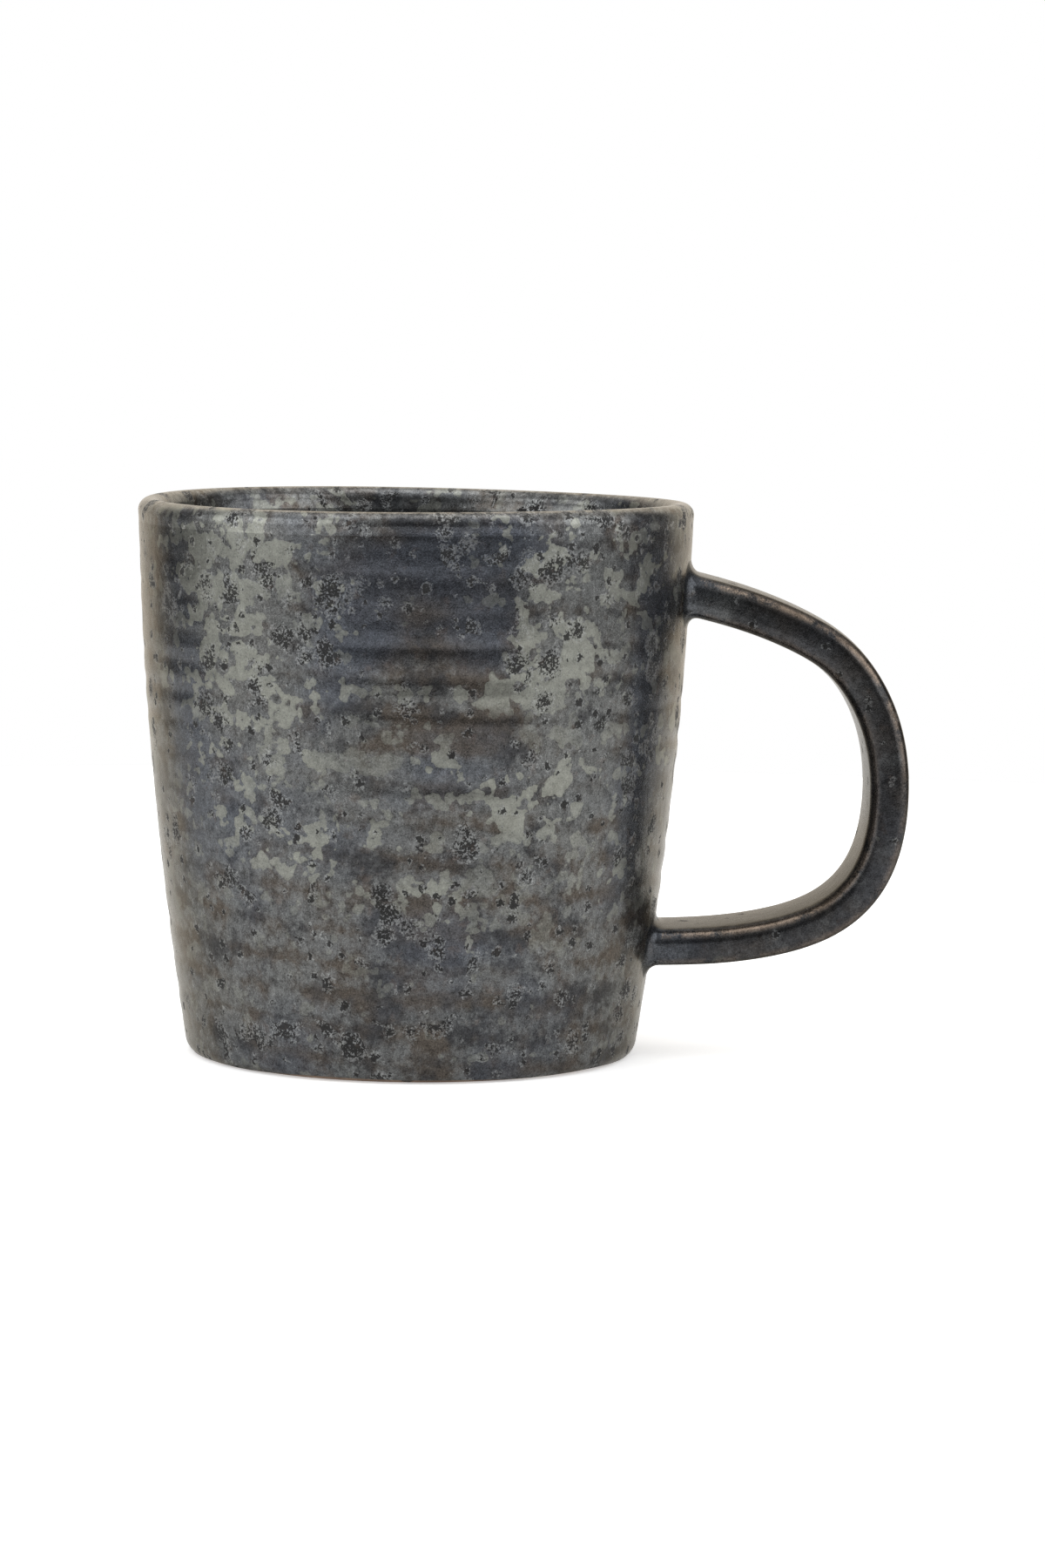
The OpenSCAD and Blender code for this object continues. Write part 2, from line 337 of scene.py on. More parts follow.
def outer_coat():
    theta = ring_angles(COLUMNS)
    _, _, side_z = corner_centre()
    stop = -GLAZE_STOP + 0.07 * wander(theta, 0 * theta, STOP_SEED, 9, 50) - 0.02
    # The coat ends in a rounded roll
    roll = [(stop, CORNER_R + 0.02), (stop - 0.06, CORNER_R + 0.16),
            (stop - 0.03, CORNER_R + 0.33), (stop + 0.06, CORNER_R + 0.42)]
    rows_r, rows_z = [], []
    cx, cz, _ = corner_centre()
    for angle, radius in roll:
        rows_r.append(cx + radius * np.cos(angle) + oval(theta, cz))
        rows_z.append(cz + radius * np.sin(angle))
    r, z = corner_rows(theta, stop + 0.12, -LEAN, CORNER_R + GLAZE_T, 8)
    rows_r.append(r[:-1])
    rows_z.append(z[:-1])
    z = spread(side_z, SEAM_Z, 160) + 0 * theta
    rows_r.append(face(theta, z))
    rows_z.append(z)
    z = spread(SEAM_Z, side_z, 8) + 0 * theta
    rows_r.append(side(z) - GLAZE_T + oval(theta, z))
    rows_z.append(z)
    r, z = corner_rows(theta, -LEAN, stop, CORNER_R, 4)
    rows_r.append(r[1:-1])
    rows_z.append(z[1:-1])
    radius, height = np.concatenate(rows_r), np.concatenate(rows_z)
    obj = turned("outer_glaze_coat", radius, height + lift(theta, height))
    attribute(obj, "ridge", ridge(theta, height))
    lay_zones(obj, theta, height)
    return obj


def lip_rows(theta, depth, count):
    """Rings over the lip, from the outer seam to the inner seam, set in by depth."""
    rise = spread(0, 1, 7) + 0 * theta
    z = SEAM_Z + (HEIGHT - LIP_R - SEAM_Z) * rise
    start, end = face(theta, SEAM_Z + 0 * theta), RIM_R + BEAD + oval(theta, z)
    up_r = start + (end - start) * ease_out(rise) - depth
    angle = spread(0, math.pi, count)
    over_r = RIM_R + BEAD - LIP_R + (LIP_R - depth) * np.cos(angle) + oval(theta, HEIGHT)
    over_z = HEIGHT - LIP_R + (LIP_R - depth) * np.sin(angle) + 0 * theta
    end_r, start_r = bore(theta, SEAM_Z + 0 * theta) + depth, over_r[-1:]
    down_r = start_r + (end_r - start_r) * ease_out(rise)
    return (np.concatenate([up_r[:-1], over_r, down_r[1:]]),
            np.concatenate([z[:-1], over_z, z[::-1][1:]]))


def rim_coat():
    theta = ring_angles(COLUMNS)
    r, z = lip_rows(theta, 0, 29)
    back_r, back_z = lip_rows(theta, GLAZE_T, 9)
    radius = np.concatenate([r, back_r[::-1]])
    height = np.concatenate([z, back_z[::-1]])
    obj = turned("rim_glaze_coat", radius, height + lift(theta, height))
    lay_zones(obj, theta, height)
    return obj


def inner_rows(theta, depth, wall, bend, floor):
    """Rings down the inside and across the floor, set out by depth."""
    inside_z = FLOOR_Z + INSIDE_R
    inside_x = bore(theta, inside_z + 0 * theta) - INSIDE_R
    z = spread(SEAM_Z, inside_z, wall) + 0 * theta
    angle = spread(0, -math.pi / 2, bend)
    bend_r = inside_x + (INSIDE_R + depth) * np.cos(angle)
    bend_z = inside_z + (INSIDE_R + depth) * np.sin(angle) + 0 * theta
    share = spread(1, 0.02, floor)
    floor_r = inside_x * share
    swirl = 0.12 * np.cos(TURN * floor_r / 4.5 + theta) * smooth(share, 0, 0.2)
    swirl = swirl * (1 - smooth(share, 0.75, 1)) * (depth == 0)
    return (np.concatenate([bore(theta, z) + depth, bend_r[1:], floor_r[1:]]),
            np.concatenate([z, bend_z[1:], (FLOOR_Z - depth + swirl + 0 * theta)[1:]]))


def inner_coat():
    theta = ring_angles(COLUMNS)
    r, z = inner_rows(theta, 0, 96, 14, 22)
    back_r, back_z = inner_rows(theta, GLAZE_T, 10, 6, 4)
    radius = np.concatenate([r[::-1], back_r])
    height = np.concatenate([z[::-1], back_z])
    obj = turned("inner_glaze_coat", radius, height + lift(theta, height), pole=True)
    pooled = 1 - smooth(height, 62, 80)
    for key, values in (("ridge", ridge(theta + 1, height * 0.8)), ("plates", 0.15 * pooled),
                        ("veils", 0.40 * pooled)):
        attribute(obj, key, np.concatenate([values.ravel(), [0, 0]]))
    return obj


def bare_cup():
    """The thrown cup under the coats: turned base, foot ring, wall and floor."""
    theta = ring_angles(CLAY_COLUMNS)
    cx, _, side_z = corner_centre()
    hollow = cx - RING_W - RECESS
    share = spread(0.03, 1, 34)
    turning = 0.05 * np.cos(TURN * hollow * share / 1.3 + theta) * (1 - smooth(share, 0.93, 1))
    dish = -0.25 * (1 - share ** 2)
    base_r = hollow * share + 0 * theta
    base_z = RECESS + turning + dish + 0 * theta
    slope = spread(0, 1, 10)
    slope_r = hollow + (RECESS - 0.5) * slope + 0 * theta
    slope_z = RECESS * (1 - ease_out(slope, 1.25))
    ring_in = spread(0, 1, 5)
    ring_r = slope_r[-1:] + 0.9 * ring_in + 0 * theta
    ring_z = 0 * ring_r
    flat = spread(cx - RING_W + 0.4, cx, 8) + 0 * theta
    corner_r, corner_z = corner_rows(theta, -math.pi / 2, -LEAN, CORNER_R, 16)
    z = spread(side_z, SEAM_Z, 24) + 0 * theta
    wall_r = side(z) - GLAZE_T + oval(theta, z)
    lip_r, lip_z = lip_rows(theta, GLAZE_T, 13)
    in_r, in_z = inner_rows(theta, GLAZE_T, 24, 8, 6)
    radius = np.concatenate([base_r, slope_r[1:], ring_r[1:], flat[1:], corner_r[1:],
                             wall_r[1:], lip_r[1:], in_r[1:]])
    height = np.concatenate([base_z, slope_z[1:] + 0 * slope_r[1:], ring_z[1:], 0 * flat[1:],
                             corner_z[1:] + 0 * corner_r[1:], z[1:], lip_z[1:], in_z[1:]])
    return turned("clay_body_bisque", radius, height + lift(theta, height), pole=True)


# ---------------------------------------------------------------- handle

PATH = np.array([[RIM_R + BEAD + p * REACH, 0, q * HEIGHT] for p, q in STRAP])
SPANS = len(PATH) - 3
EDGE_STEPS = 8
WIDTH_STEPS = 12


def blend_at(u):
    """Point of the strap's centre line, a cubic B-spline, at each u."""
    i = np.clip(np.floor(u).astype(int), 0, SPANS - 1)
    t = (u - i)[..., None]
    return ((1 - t) ** 3 * PATH[i] + (3 * t ** 3 - 6 * t ** 2 + 4) * PATH[i + 1]
            + (-3 * t ** 3 + 3 * t ** 2 + 3 * t + 1) * PATH[i + 2] + t ** 3 * PATH[i + 3]) / 6


def heading_at(u):
    d = blend_at(np.minimum(u + 0.01, SPANS)) - blend_at(np.maximum(u - 0.01, 0))
    return d / np.linalg.norm(d, axis=-1, keepdims=True)


def section(width, thick, r):
    """Rounded rectangle: across the width along the upper face, and back along the lower."""
    angle = np.linspace(0, math.pi / 2, EDGE_STEPS + 1)
    flat = np.linspace(-1, 1, WIDTH_STEPS + 1)[1:-1] * (width / 2 - r)
    left = np.stack([-(width / 2 - r) - r * np.cos(angle), thick / 2 - r + r * np.sin(angle)], 1)
    middle = np.stack([flat, 0 * flat + thick / 2], 1)
    right = left[::-1] * [-1, 1]
    row = np.concatenate([left, middle, right])
    return np.concatenate([row, row[::-1] * [1, -1]])


RING_N = len(section(STRAP_W, STRAP_TOP_T, EDGE_R))


def thick_at(u):
    return STRAP_TOP_T + (STRAP_LOW_T - STRAP_TOP_T) * u / SPANS


def strap_points(u, depth, hand=0.0):
    """All points of a section; u holds one value for each of them. hand adds a made-by-hand look."""
    wide = section(STRAP_W + 2 * depth, 2 * (2 * EDGE_R + 2 * depth), EDGE_R + depth)
    edge = EDGE_R + depth
    b, up = wide[:, 0], np.sign(wide[:, 1])
    over = np.abs(wide[:, 1]) - (2 * EDGE_R + 2 * depth - edge)
    crown = hand * 0.22 * (1 - (b / (STRAP_W / 2)) ** 2)
    a = up * (thick_at(u) / 2 + depth - edge + over + crown)
    b = b * (1 + hand * 0.012 * np.sin(2.1 * u + 0.6))
    h = heading_at(u)
    return blend_at(u) + np.stack([-h[:, 2] * a, b, h[:, 0] * a], axis=1)


def outside(p, depth, marked):
    theta = np.arctan2(p[:, 1], p[:, 0])
    radius = face(theta, p[:, 2]) if marked else side(p[:, 2])
    return np.hypot(p[:, 0], p[:, 1]) - (radius - depth)


def root(low, high, grown, depth, marked, hand):
    """u at which each line of the strap leaves the cup, by halving."""
    low, high = np.full(RING_N, float(low)), np.full(RING_N, float(high))
    for _ in range(24):
        mid = (low + high) / 2
        inside = outside(strap_points(mid, grown, hand), depth, marked) < 0
        low, high = np.where(inside, mid, low), np.where(inside, high, mid)
    return (low + high) / 2


def cup_ring(corner, depth, marked):
    """Outline of the fillet on the cup: a rounded rectangle seen along X, laid on the side."""
    z_low, z_high = corner[:, 2].min(), corner[:, 2].max()
    turn = 1 if corner[0, 2] > corner[-1, 2] else -1
    s = section(STRAP_W + 2 * FILLET_R, z_high - z_low + 2 * FILLET_R, EDGE_R + FILLET_R)
    y, z = s[:, 0], (z_low + z_high) / 2 + turn * s[:, 1]
    radius = side(z) - depth
    for _ in range(4 if marked else 0):
        theta = np.arcsin(np.clip(y / radius, -1, 1))
        radius = face(theta, z) - depth
    return np.stack([np.sqrt(radius ** 2 - y ** 2), y, z], axis=1)


def fillet(a, c, b, steps):
    share = [i / steps for i in range(steps + 1)]
    return [(1 - t) ** 2 * a + 2 * t * (1 - t) * c + t * t * b for t in share]


def strap_rings(grown, depth, fillet_steps, free, marked, hand):
    """Rings from the upper fillet's edge on the cup to the lower one's."""
    pace_top = np.linalg.norm(blend_at(np.array([2.0])) - blend_at(np.array([1.0])))
    pace_low = np.linalg.norm(blend_at(np.array([SPANS - 1.0])) - blend_at(np.array([SPANS - 2.0])))
    upper = root(0.4, 3, grown, depth, marked, hand)
    lower = root(SPANS - 0.4, SPANS - 3, grown, depth, marked, hand)
    u0, u1 = upper + (FILLET_R - grown) / pace_top, lower - (FILLET_R - grown) / pace_low
    upper_c, lower_c = strap_points(upper, grown, hand), strap_points(lower, grown, hand)
    upper_a, lower_a = strap_points(u0, grown, hand), strap_points(u1, grown, hand)
    sink = depth + (0.05 if marked else 0)
    rings = fillet(upper_a, upper_c, cup_ring(upper_c, sink, marked), fillet_steps)[::-1]
    for i in range(1, free):
        rings.append(strap_points(u0 + (u1 - u0) * i / free, grown, hand))
    rings += fillet(lower_a, lower_c, cup_ring(lower_c, sink, marked), fillet_steps)
    return rings


def arris_row():
    """1 on the rounded long edges of a section, fading to 0 within a millimetre or so."""
    s = section(STRAP_W + 2 * GLAZE_T, 8, EDGE_R + GLAZE_T)
    corner = np.minimum(np.abs(np.abs(s[:, 0]) - (STRAP_W / 2 + GLAZE_T)), 9)
    flat = np.abs(np.abs(s[:, 1]) - 4)
    return np.exp(-((corner - 0.55) / 0.55) ** 2) * np.exp(-((flat - 0.55) / 0.55) ** 2)


def handle_coat():
    outer = strap_rings(GLAZE_T, 0.0, 14, 230, True, 1.0)
    inner = strap_rings(0.0, GLAZE_T - 0.02, 3, 26, False, 0.0)
    rings = outer + inner[::-1]
    points = np.concatenate(rings)
    obj = solid("handle_glaze_coat", points, ring_faces(len(rings), RING_N, True))
    shape = (len(rings), RING_N)
    edge, root_bloom = np.zeros(shape), np.zeros(shape)
    count = len(outer)
    upward = np.array([ring[:RING_N // 2, 2].mean() - ring[RING_N // 2:, 2].mean() for ring in outer])
    upper_side = np.where(np.arange(RING_N) < RING_N // 2, 1, -1)[None, :]
    # Edges that face up get up to four times the rub of those that face down: a painted highlight from
    # the light above, laid over the wear.
    lit = np.clip(upward[:, None] / 6 * upper_side, 0, 1)
    edge[14:count - 14] = (arris_row() * (0.25 + 0.75 * lit))[14:count - 14]
    from_end = np.minimum(np.arange(count), count - 1 - np.arange(count))[:, None]
    root_bloom[:count] = 0.50 * (1 - smooth(from_end, 12, 34))
    attribute(obj, "rubbed_and_highlit_edge", edge)
    attribute(obj, "veils", root_bloom)
    attribute(obj, "blues", 0.6 * root_bloom)
    attribute(obj, "craters", np.full(shape, -0.32))
    return obj


# ---------------------------------------------------------------- material helpers

class Graph:
    """Builds shader nodes; any input may be a number, a colour or another node's socket."""

    def __init__(self, owner):
        """owner is a new material or world, whose stock nodes are cleared."""
        owner.use_nodes = True
        self.owner = owner
        self.tree = owner.node_tree
        self.tree.nodes.clear()

    def put(self, socket, value):
        if isinstance(value, bpy.types.NodeSocket):
            self.tree.links.new(value, socket)
        elif value is not None:
            socket.default_value = value

    def add(self, kind, **settings):
        node = self.tree.nodes.new(kind)
        for key, value in settings.items():
            setattr(node, key, value)
        return node

    def math(self, operation, a, b=None, c=None, clamp=False):
        node = self.add("ShaderNodeMath", operation=operation, use_clamp=clamp)
        for socket, value in zip(node.inputs, (a, b, c)):
            self.put(socket, value)
        return node.outputs[0]

    def sum(self, *terms):
        total = terms[0]
        for term in terms[1:]:
            total = self.math("ADD", total, term)
        return total

    def times(self, *terms):
        total = terms[0]
        for term in terms[1:]:
            total = self.math("MULTIPLY", total, term)
        return total

    def vector(self, operation, a, b=None, scale=None):
        node = self.add("ShaderNodeVectorMath", operation=operation)
        self.put(node.inputs[0], a)
        self.put(node.inputs[1], b)
        if scale is not None:
            self.put(node.inputs["Scale"], scale)
        return node.outputs[0]

    def place(self):
        """Object position in millimetres."""
        source = self.add("ShaderNodeTexCoord").outputs["Object"]
        return self.vector("SCALE", source, scale=1 / MM)

    def split(self, vector):
        node = self.add("ShaderNodeSeparateXYZ")
        self.put(node.inputs[0], vector)
        return node.outputs

    def noise(self, where, size, detail=2.0, rough=0.5, shift=0.0, distort=0.0):
        """Noise about 0.5 with features of a size in millimetres."""
        if shift:
            where = self.vector("ADD", where, (shift, shift * 1.7, -shift))
        node = self.add("ShaderNodeTexNoise", noise_dimensions="3D", normalize=True)
        self.put(node.inputs["Vector"], where)
        self.put(node.inputs["Scale"], 1 / size)
        self.put(node.inputs["Detail"], detail)
        self.put(node.inputs["Roughness"], rough)
        self.put(node.inputs["Distortion"], distort)
        return node.outputs["Fac"]

    def shake(self, where, size, reach, detail=2.0):
        """The position moved about by noise, by up to about reach."""
        node = self.add("ShaderNodeTexNoise", noise_dimensions="3D", normalize=True)
        self.put(node.inputs["Vector"], where)
        self.put(node.inputs["Scale"], 1 / size)
        self.put(node.inputs["Detail"], detail)
        off = self.vector("SUBTRACT", node.outputs["Color"], (0.5, 0.5, 0.5))
        return self.vector("ADD", where, self.vector("SCALE", off, scale=2 * reach))

    def cells(self, where, size, shift=0.0):
        """Distance from the nearest cell's middle, in cell sizes, and three random values."""
        if shift:
            where = self.vector("ADD", where, (shift, -shift, shift * 0.6))
        node = self.add("ShaderNodeTexVoronoi", voronoi_dimensions="3D", feature="F1")
        self.put(node.inputs["Vector"], where)
        self.put(node.inputs["Scale"], 1 / size)
        return node.outputs["Distance"], self.split(node.outputs["Color"])

    def ramp(self, value, low, high, to_low=0.0, to_high=1.0, ease=True):
        node = self.add("ShaderNodeMapRange",
                        interpolation_type="SMOOTHSTEP" if ease else "LINEAR")
        node.clamp = True
        for name, item in (("Value", value), ("From Min", low), ("From Max", high),
                           ("To Min", to_low), ("To Max", to_high)):
            self.put(node.inputs[name], item)
        return node.outputs["Result"]

    def mix(self, share, a, b):
        node = self.add("ShaderNodeMix", data_type="RGBA", blend_type="MIX")
        sockets = [s for s in node.inputs if s.enabled]
        for socket, value in zip(sockets, (share, a, b)):
            if isinstance(value, tuple) and len(value) == 3:
                value = (*value, 1.0)
            self.put(socket, value)
        return [s for s in node.outputs if s.enabled][0]

    def shade(self, colour, share):
        """The colour multiplied by a number."""
        return self.vector("SCALE", colour, scale=share)

    def attribute(self, name):
        return self.add("ShaderNodeAttribute", attribute_name=name).outputs["Fac"]

    def knob(self, name):
        """A value that copies of the material may set."""
        return self.add("ShaderNodeValue", name=name).outputs[0]

    def finish(self, colour, metallic, roughness, height, depth=1.0, **fixed):
        """Principled surface; height is in millimetres."""
        bump = self.add("ShaderNodeBump")
        bump.inputs["Strength"].default_value = depth
        bump.inputs["Distance"].default_value = MM
        self.put(bump.inputs["Height"], height)
        surface = self.add("ShaderNodeBsdfPrincipled", name="surface")
        self.put(surface.inputs["Base Color"], colour)
        self.put(surface.inputs["Metallic"], metallic)
        self.put(surface.inputs["Roughness"], roughness)
        self.put(surface.inputs["Normal"], bump.outputs["Normal"])
        for name, value in fixed.items():
            surface.inputs[name].default_value = value
        out = self.add("ShaderNodeOutputMaterial")
        self.tree.links.new(surface.outputs[0], out.inputs["Surface"])
        return self.owner


# ---------------------------------------------------------------- glaze

LIGHT_PLATE = (0.255, 0.262, 0.232)
MID_VEIL = (0.140, 0.145, 0.144)
BLUE_VEIL = (0.082, 0.092, 0.112)
BROWN_GROUND = (0.084, 0.072, 0.061)
DARK_GROUND = (0.046, 0.047, 0.050)
PIT_DARK = (0.012, 0.013, 0.015)
PALE_GRAIN = (0.34, 0.35, 0.35)
RUST = (0.110, 0.078, 0.060)
CHARCOAL = (0.062, 0.064, 0.069)
# Clay showing on the strap's rubbed edges; laid on more strongly where the edges face up, it is also a
# painted highlight.
RUBBED_CLAY_AND_HIGHLIGHT = (0.44, 0.34, 0.26)
WORN_LIP = (0.27, 0.262, 0.245)
EDGE_TINT = (0.66, 0.63, 0.57)
HANDLE_EDGE_TINT = (0.40, 0.38, 0.34)


def flip(g, value):
    return g.math("SUBTRACT", 1.0, value)


def crumbs(g, where, size, reach, wish, shift, bold):
    """Ragged dark crumbs inside crowded spots, and the pale grains between them."""
    far, chance = g.cells(g.shake(where, 0.8, 0.6, 1.0), size, shift)
    picked = g.math("GREATER_THAN", wish, chance[0])
    room = g.sum(0.55, g.times(chance[1], 0.75))
    spot = g.times(picked, g.ramp(g.math("DIVIDE", far, room), reach, reach * 0.25))
    broken = g.noise(g.shake(where, 0.3, 0.15, 0.0), 0.42, 1.5, 0.8, shift + 3)
    dark = g.ramp(g.sum(broken, g.times(spot, bold)), 0.74, 0.80)
    pale = g.times(g.ramp(spot, 0.02, 0.25), flip(g, dark), g.ramp(broken, 0.54, 0.42))
    return dark, pale, spot


def shared_sockets(g):
    """What several parts of the glaze read: knobs, what the mesh says, and the common noises."""
    where = g.place()
    shared = SimpleNamespace(where=where, level=g.split(where)["Z"], crest=g.attribute("ridge"))
    for name in ("tone", "plates", "veils", "even"):
        setattr(shared, name, g.knob(name))
    for name, key in (("plate_zone", "plates"), ("crater_zone", "craters"),
                      ("blue_zone", "blues"), ("veil_zone", "veils")):
        setattr(shared, name, g.attribute(key))
    shared.grain = g.noise(where, 0.30, 1.0, 0.6)
    shared.grit = g.noise(where, 0.16, 0.0, 0.5, 7.0)
    shared.fuzz = g.noise(where, 1.3, 4.0, 0.72, 17.0)
    shared.cloud = g.noise(where, 8.0, 3.0, 0.55)
    shared.broad = g.noise(where, 20.0, 2.0, 0.5, 55.0)
    drawn = g.vector("MULTIPLY", g.shake(where, 2.5, 0.5), (1, 1, 0.16))
    shared.upright = g.noise(drawn, 0.42, 1.0, 0.5)
    return shared


def veiled_ground(g, shared):
    """Brown to near black with clouds of blue, under a grey bloom of fine upright lines."""
    blue = g.ramp(g.sum(shared.broad, shared.blue_zone, g.times(shared.crest, 0.1)), 0.40, 0.85)
    ground = g.mix(g.ramp(shared.cloud, 0.38, 0.60), DARK_GROUND, BROWN_GROUND)
    ground = g.mix(g.times(blue, 0.85), ground, BLUE_VEIL)
    bloom = g.noise(g.shake(shared.where, 3.0, 1.0), 5.5, 3.0, 0.6, 21.0)
    thick = g.sum(bloom, g.times(shared.fuzz, 0.42), g.times(shared.crest, 0.16),
                  shared.veil_zone, shared.veils)
    veil = g.ramp(thick, 0.56, 0.86)
    veil_colour = g.mix(g.times(blue, 0.8), MID_VEIL, BLUE_VEIL)
    veil_colour = g.shade(veil_colour, g.sum(0.70, g.times(shared.upright, 0.62)))
    return g.mix(g.times(veil, 0.85), ground, veil_colour), veil


def pale_plates(g, shared, colour):
    """Plates with crisp, scalloped edges, in rows on the crests."""
    drawn = g.vector("MULTIPLY", g.shake(shared.where, 2.5, 0.3), (0.2, 0.2, 1))
    lines = g.noise(drawn, 0.26, 1.0, 0.5)
    ragged = g.shake(shared.where, 1.0, 0.22)
    scallop, _ = g.cells(ragged, 2.0)
    small, _ = g.cells(ragged, 0.95, 13.0)
    body = g.noise(g.shake(shared.where, 4.0, 1.2), 4.2, 2.0, 0.55, 91.0)
    edge = g.sum(body, g.times(shared.cloud, 0.30), g.times(shared.crest, 0.13), shared.plate_zone,
                 shared.plates, g.times(scallop, -0.24), g.times(small, -0.09))
    plate = g.ramp(edge, 0.575, 0.60)
    rise = g.ramp(edge, 0.575, 0.68)
    solid_glass = g.sum(shared.broad, g.times(shared.cloud, 0.5), g.times(shared.plate_zone, 1.5))
    firm = g.ramp(solid_glass, 0.62, 1.0, 0.30, 1.0)
    plate_colour = g.shade(LIGHT_PLATE, g.sum(0.78, g.times(lines, 0.26), g.times(rise, 0.12)))
    return g.mix(g.times(plate, firm, 0.85), colour, plate_colour), plate, firm


def craters(g, shared, colour):
    """Craters in crowds and single pits, ragged, with pale grains round them."""
    crowd = g.noise(shared.where, 6.0, 1.0, 0.5, 33.0)
    wish = g.sum(g.times(crowd, 1.3), shared.crater_zone, -0.50)
    dark_a, pale_a, spot_a = crumbs(g, shared.where, 4.2, 0.78, wish, 5.0, 0.33)
    lone = g.sum(g.times(shared.crater_zone, 0.8), 0.42)
    dark_b, pale_b, spot_b = crumbs(g, shared.where, 2.4, 0.42, lone, 47.0, 0.40)
    pit = g.math("MAXIMUM", dark_a, dark_b)
    pale = g.times(g.math("MAXIMUM", pale_a, pale_b), flip(g, pit))
    spot = g.math("MAXIMUM", spot_a, spot_b)
    colour = g.mix(g.times(pale, 0.40), colour, PALE_GRAIN)
    return g.mix(g.times(pit, 0.92), colour, PIT_DARK), pit, pale, spot


def wear(g, shared, colour, plate):
    """Rust where the coat is thin, a worn lip, and worn edges on the strap that are brighter where they
    face up: wear plus a painted highlight.
    """
    rust = g.sum(g.noise(shared.where, 2.6, 3.0, 0.6, 71.0), g.times(shared.crest, 0.12))
    colour = g.mix(g.times(g.ramp(rust, 0.58, 0.76), flip(g, plate), 0.30), colour, RUST)
    lip = g.times(g.ramp(shared.level, 88.8, 89.9), g.ramp(shared.fuzz, 0.3, 0.6), 0.36)
    colour = g.mix(lip, colour, WORN_LIP)
    patchy = g.sum(g.noise(shared.where, 5.0, 3.0, 0.65, 15.0), g.times(shared.grain, 0.2))
    # Rubbed clay on the strap's edges, strongest on the upper ones: partly wear, partly a painted
    # highlight.
    edges = g.times(g.attribute("rubbed_and_highlit_edge"), g.ramp(patchy, 0.46, 0.62), 0.90)
    return g.mix(edges, colour, RUBBED_CLAY_AND_HIGHLIGHT)


def speckled(g, shared, colour, plate, firm):
    """Fine grain over everything, weaker on the plates, and the tone of the coat."""
    strength = g.sum(0.60, g.times(flip(g, g.times(plate, firm)), 0.6))
    speckle = g.sum(shared.grain, g.times(shared.grit, 0.9), g.times(shared.fuzz, 1.5), -1.70)
    return g.shade(colour, g.times(g.sum(1.0, g.times(speckle, strength)), shared.tone))


def glaze():
    """Reactive glaze: pale plates and a grey veil over a blue and brown ground, with pits.
    The mesh says where the zones, the throwing marks and the worn edges are; the edges carry a painted
    highlight on their upper side, and two zones lay a painted dark reflection down the sides."""
    g = Graph(bpy.data.materials.new("glaze"))
    shared = shared_sockets(g)
    colour, veil = veiled_ground(g, shared)
    colour, plate, firm = pale_plates(g, shared, colour)
    plain = g.times(shared.even, flip(g, g.ramp(shared.veil_zone, 0.0, 0.3)))
    colour = g.mix(plain, colour, CHARCOAL)
    colour, pit, pale, spot = craters(g, shared, colour)
    colour = wear(g, shared, colour, plate)
    colour = speckled(g, shared, colour, plate, firm)
    rough = g.sum(0.20, g.times(plate, 0.04), g.times(pit, 0.30), g.times(shared.grain, 0.12),
                  g.times(spot, 0.08))
    height = g.sum(g.times(pit, -0.12), g.times(pale, 0.03), g.times(plate, firm, 0.010),
                   g.times(shared.grain, 0.010), g.times(shared.grit, 0.005),
                   g.times(shared.fuzz, 0.02), g.times(shared.upright, veil, 0.006),
                   g.times(shared.cloud, 0.12))
    metallic = g.sum(0.82, g.times(pit, -0.5))
    return g.finish(colour, metallic, rough, height)


def glaze_like(base, name, tone=1.0, plates=0.0, veils=0.0, even=0.0, edge=EDGE_TINT):
    """The same glaze, darker, more even or with fewer plates where it ran thin."""
    material = base.copy()
    material.name = name
    for knob, value in (("tone", tone), ("plates", plates), ("veils", veils), ("even", even)):
        material.node_tree.nodes[knob].outputs[0].default_value = value
    material.node_tree.nodes["surface"].inputs["Specular Tint"].default_value = (*edge, 1.0)
    return material


# ---------------------------------------------------------------- bare clay

CLAY_DARK = (0.20, 0.125, 0.085)
CLAY_LIGHT = (0.34, 0.235, 0.165)
IRON_SPECK = (0.055, 0.038, 0.030)
GROG = (0.50, 0.41, 0.32)


def bare_clay(name, tint=1.0):
    """Matte fired stoneware with iron specks and fine grog."""
    g = Graph(bpy.data.materials.new(name))
    where = g.place()
    cloud = g.noise(where, 7.0, 3.0, 0.6)
    grain = g.noise(where, 0.35, 2.0, 0.65)
    colour = g.mix(g.ramp(cloud, 0.35, 0.65), CLAY_DARK, CLAY_LIGHT)
    far, chance = g.cells(where, 1.6)
    speck = g.times(g.math("GREATER_THAN", chance[0], 0.72),
                    g.ramp(far, g.times(chance[1], 0.32), 0.05, 0.0, 1.0))
    colour = g.mix(speck, colour, IRON_SPECK)
    grog_far, grog = g.cells(where, 0.8, 9.0)
    grit = g.times(g.math("GREATER_THAN", grog[0], 0.8), g.ramp(grog_far, 0.3, 0.1))
    colour = g.mix(g.times(grit, 0.5), colour, GROG)
    colour = g.shade(colour, g.times(g.sum(0.7, g.times(grain, 0.6)), tint))
    rough = g.sum(0.78, g.times(grain, 0.15))
    height = g.sum(g.times(grain, 0.05), g.times(grit, 0.05), g.times(speck, -0.05))
    return g.finish(colour, 0.0, rough, height, 1.0)


# ---------------------------------------------------------------- studio

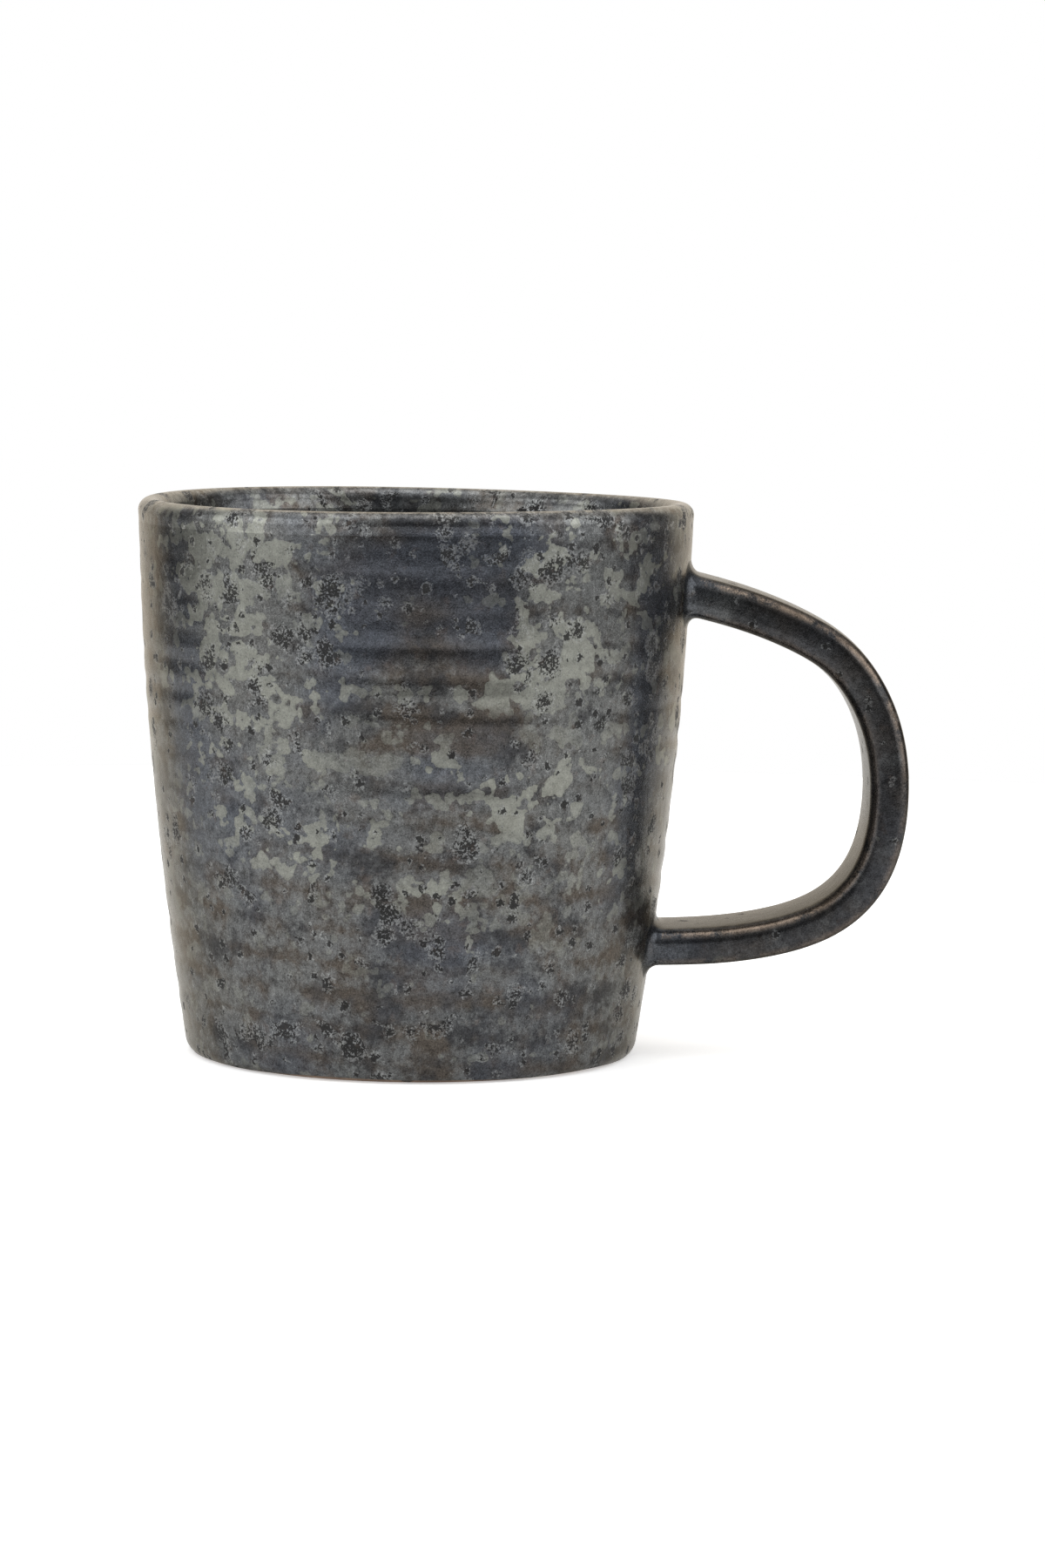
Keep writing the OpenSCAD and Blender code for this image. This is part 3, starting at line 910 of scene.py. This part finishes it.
def studio_floor():
    """A round pale table top."""
    mesh = bpy.data.meshes.new("floor")
    count = 96
    angles = [TURN * i / count for i in range(count)]
    points = [(TABLE_RADIUS * math.cos(a), TABLE_RADIUS * math.sin(a), 0) for a in angles]
    mesh.from_pydata(points, [], [list(range(count))])
    floor = bpy.data.objects.new("floor", mesh)
    bpy.context.scene.collection.objects.link(floor)
    g = Graph(bpy.data.materials.new("paper"))
    surface = g.add("ShaderNodeBsdfPrincipled")
    surface.inputs["Base Color"].default_value = (0.92, 0.92, 0.92, 1)
    surface.inputs["Roughness"].default_value = 0.9
    surface.inputs["Specular IOR Level"].default_value = 0.1
    surface.inputs["Emission Color"].default_value = (1, 1, 1, 1)
    surface.inputs["Emission Strength"].default_value = TABLE_GLOW
    out = g.add("ShaderNodeOutputMaterial")
    g.tree.links.new(surface.outputs[0], out.inputs["Surface"])
    mesh.materials.append(g.owner)


def softbox(name, place, width, height, power):
    data = bpy.data.lights.new(name, "AREA")
    data.shape = "RECTANGLE"
    data.size, data.size_y = width, height
    data.energy = power
    obj = bpy.data.objects.new(name, data)
    bpy.context.scene.collection.objects.link(obj)
    place = Vector(place)
    ahead = (Vector(AIM) - place).normalized()
    turn = ahead.to_track_quat("-Z", "Y").to_matrix().to_4x4()
    obj.matrix_world = Matrix.Translation(place) @ turn


def studio_world():
    """A white backdrop behind the mug, dim flags at its sides and a softly lit room in front."""
    world = bpy.data.worlds.new("studio")
    bpy.context.scene.world = world
    g = Graph(world)
    _, back, up = g.split(g.add("ShaderNodeTexCoord").outputs["Generated"])
    light = g.sum(g.ramp(back, -0.15, 0.10, 0.16, 0.05), g.ramp(back, 0.60, 0.74, 0.0, 1.30),
                  g.ramp(up, 0.30, 0.85, 0.0, 1.0))
    seen = g.add("ShaderNodeLightPath").outputs["Is Camera Ray"]
    room = g.add("ShaderNodeBackground")
    strength = g.sum(g.times(light, flip(g, seen)), seen)
    g.put(room.inputs["Strength"], strength)
    warm = g.ramp(back, 0.5, 0.7)
    tint = g.mix(g.times(warm, flip(g, seen)), (1.0, 1.0, 1.0), (1.06, 0.99, 0.90))
    g.put(room.inputs["Color"], tint)
    out = g.add("ShaderNodeOutputWorld")
    g.tree.links.new(room.outputs[0], out.inputs["Surface"])


def studio_light():
    for values in SOFTBOXES:
        softbox(*values)
    studio_world()


def camera():
    """From the front, a little above the lip."""
    yaw, pitch, roll = math.radians(YAW), math.radians(PITCH), math.radians(ROLL)
    ahead = Vector((math.sin(yaw) * math.cos(pitch), math.cos(yaw) * math.cos(pitch), -math.sin(pitch)))
    level = ahead.cross(Vector((0, 0, 1))).normalized()
    upright = level.cross(ahead)
    right = level * math.cos(roll) + upright * math.sin(roll)
    up = upright * math.cos(roll) - level * math.sin(roll)
    data = bpy.data.cameras.new("camera")
    data.lens = LENS
    data.sensor_width = SENSOR
    data.clip_start = 0.01
    obj = bpy.data.objects.new("camera", data)
    bpy.context.scene.collection.objects.link(obj)
    turn = Matrix((right, up, -ahead)).transposed().to_4x4()
    obj.matrix_world = Matrix.Translation(CAMERA_PLACE) @ turn
    bpy.context.scene.camera = obj


# ---------------------------------------------------------------- assembly

def dress(obj, node, material):
    obj.data.materials.append(material)
    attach(obj, "root")
    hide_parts(node)


def repaint(node, material):
    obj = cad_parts[node]
    obj.data.materials.clear()
    obj.data.materials.append(material)


camera()
studio_floor()
studio_light()
bpy.context.scene.view_settings.view_transform = "Standard"

base = glaze()
dress(outer_coat(), "outer_glaze", glaze_like(base, "body_glaze", 0.68))
dress(rim_coat(), "rim_glaze", glaze_like(base, "rim_glaze"))
dress(inner_coat(), "inner_glaze", glaze_like(base, "liner_glaze", 0.78))
dress(handle_coat(), "handle_glaze",
      glaze_like(base, "handle_glaze", 0.50, -0.16, -0.12, 0.55, HANDLE_EDGE_TINT))
dress(bare_cup(), "clay_body", bare_clay("bare_clay", 0.6))
for clay_node in ("handle_clay", "upper_slip_joint", "lower_slip_joint"):
    repaint(clay_node, bare_clay(clay_node, 0.95))
